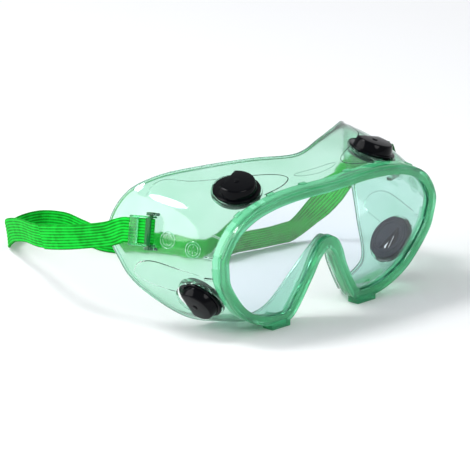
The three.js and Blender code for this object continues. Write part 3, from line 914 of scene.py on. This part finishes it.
loop_radius = PIN["radius"] + GAP + STRAP["thickness"] / 2
loop = [
    (loop_radius * math.cos(math.pi * i / 12), -loop_radius * math.sin(math.pi * i / 12))
    for i in range(13)
]
loops = {side: steps_at_hinge(side, OUTER_LAYER[::-1] + loop + INNER_LAYER) for side, _ in SIDES}
right_end = steps_at_hinge("right", INNER_LAYER[-2:])
left_end = steps_at_hinge("left", INNER_LAYER[-2:])[::-1]
controls = [p for p, _ in right_end] + [np.array(r[:3], float) for r in ROUTE] + [p for p, _ in left_end]
last_control = len(controls) - 1


def line_along(share):
    """The direction of the free band at a share of its way."""
    before = on_line(controls, max(share - 1e-4, 0))
    along = on_line(controls, min(share + 1e-4, 1)) - before
    return along / np.linalg.norm(along)


ups = [u for _, u in right_end]
for i, (_, _, _, lean) in enumerate(ROUTE):
    along = Vector(line_along((i + 2) / last_control))
    ups.append(np.array(Matrix.Rotation(math.radians(lean), 3, along) @ Vector((0, 0, 1))))
ups += [u for _, u in left_end]

STEPS_PER_POINT = 12
count = last_control * STEPS_PER_POINT
free = [
    (on_line(controls, i / count), on_line(ups, i / count), line_along(i / count))
    for i in range(count + 1)
]
for point, _, _ in free:
    point[2] = max(point[2], FLAT)


def tail_of(steps, length, sense):
    """The end of the band, lying on the outer side of the free band as far as a length."""
    tail = []
    travelled = 0
    for (before, _, _), (point, up, along) in zip(steps, steps[1:]):
        travelled += np.linalg.norm(point - before)
        if STRAP["tail_start"] < travelled < length:
            outward = np.cross(up, along * sense)
            tail.append((point + outward / np.linalg.norm(outward) * STRAP["pitch"], up))
    return tail


def ribbed_band(name, line):
    """The band's skin along a line: eight ribs on both faces, round edges and closed ends."""
    per_face = STRAP["ribs"] * 6
    per_edge = 4
    outline = []
    for face in (1, -1):
        for i in range(per_face):
            across = face * (0.5 - i / per_face) * (STRAP["width"] - 0.8)
            rib = 0.5 - 0.5 * math.cos(2 * math.pi * STRAP["ribs"] * i / per_face)
            outline.append((face * STRAP["thickness"] / 2 * (0.68 + 0.32 * rib), across))
        for i in range(per_edge):
            angle = math.pi * i / per_edge
            across = -face * ((STRAP["width"] - 0.8) / 2 + 0.4 * math.sin(angle))
            outline.append((face * 0.34 * STRAP["thickness"] * math.cos(angle), across))
    points = [p for p, _ in line]
    rings = []
    for i, (point, up) in enumerate(line):
        along = points[min(i + 1, len(line) - 1)] - points[max(i - 1, 0)]
        side = np.cross(along, up)
        side /= np.linalg.norm(side)
        edge = np.cross(side, along)
        edge /= np.linalg.norm(edge)
        rings.append([point + side * a + edge * b for a, b in outline])
    rings = [[points[0]] * len(outline)] + rings + [[points[-1]] * len(outline)]
    band = skin(
        name,
        len(outline),
        len(rings) - 1,
        lambda column, row: Vector(rings[row][column % len(outline)]) * MM + RIM_MIDDLE,
    )
    # The UV map holds millimetres: across the band, and along it.
    lengths = np.concatenate(([0], np.cumsum([np.linalg.norm(q - p) for p, q in zip(points, points[1:])])))
    lengths = np.concatenate(([0], lengths, lengths[-1:]))
    for corner in band.data.uv_layers.active.data:
        column = round(corner.uv.x * len(outline))
        row = round(corner.uv.y * (len(rings) - 1))
        corner.uv = (outline[column % len(outline)][1], lengths[row])
    return band


def woven_elastic():
    """Woven polyester over rubber cords, dyed bright green: matt, with painted shade in the furrows
    between the ribs, cross threads about 1 mm apart and faint patches of wear."""
    material, tree = finish_named("woven green elastic webbing")
    flat = node(tree, "ShaderNodeTexCoord").outputs["UV"]
    place = node(tree, "ShaderNodeTexCoord").outputs["Object"]
    parts = node(tree, "ShaderNodeSeparateXYZ", links={"Vector": flat})
    # One furrow every 1.6 mm across the band, and one thread every millimetre along it.
    waves = []
    for axis, spacing in (("X", 1.6), ("Y", 1.0)):
        turns = node(
            tree,
            "ShaderNodeMath",
            {"operation": "MULTIPLY", 1: 2 * math.pi / spacing},
            {0: parts.outputs[axis]},
        )
        waves.append(node(tree, "ShaderNodeMath", {"operation": "COSINE"}, {0: turns.outputs["Value"]}))
    patches = node(tree, "ShaderNodeTexNoise", {"Scale": 220.0, "Detail": 4.0}, {"Vector": place})
    # Painted shade: the colour darkens in every furrow between the ribs, and faint random patches of wear
    # are added.
    furrow_shade_and_wear = node(
        tree,
        "ShaderNodeMath",
        {"operation": "MULTIPLY_ADD", 1: 0.28},
        {0: waves[0].outputs["Value"], 2: patches.outputs["Fac"]},
    )
    tint = node(tree, "ShaderNodeValToRGB", links={"Fac": furrow_shade_and_wear.outputs["Value"]})
    # The pale end is the lit green of the ribs, and the deep end is the painted shade of the furrows.
    tint.color_ramp.elements[0].position = 0.25
    tint.color_ramp.elements[0].color = linear("#12c637")
    tint.color_ramp.elements[1].position = 0.8
    tint.color_ramp.elements[1].color = linear("#067a17")
    nap = node(
        tree,
        "ShaderNodeBump",
        {"Strength": 0.2, "Distance": 0.0002},
        {"Height": waves[1].outputs["Value"]},
    )
    surface(
        tree,
        {"Roughness": 0.75, "Specular IOR Level": 0.08},
        {"Base Color": tint.outputs["Color"], "Normal": nap.outputs["Normal"]},
    )
    return material


webbing = woven_elastic()
cut = len(free) // 2
skipped = STEPS_PER_POINT + 2
ends = {
    "right": (free, 1, [(p, u) for p, u, _ in free[skipped:cut + 1]]),
    "left": (free[::-1], -1, [(p, u) for p, u, _ in free[cut:-skipped][::-1]]),
}
for side, (steps, sense, band) in ends.items():
    tail = tail_of(steps, TAILS[side], sense)
    line = tail[::-1] + loops[side] + band
    strap = ribbed_band(f"elastic_strap_{side}", line)
    smooth(strap, 50)
    strap.data.materials.append(webbing)
    place = hinge_places[side]
    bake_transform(strap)
    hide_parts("strap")
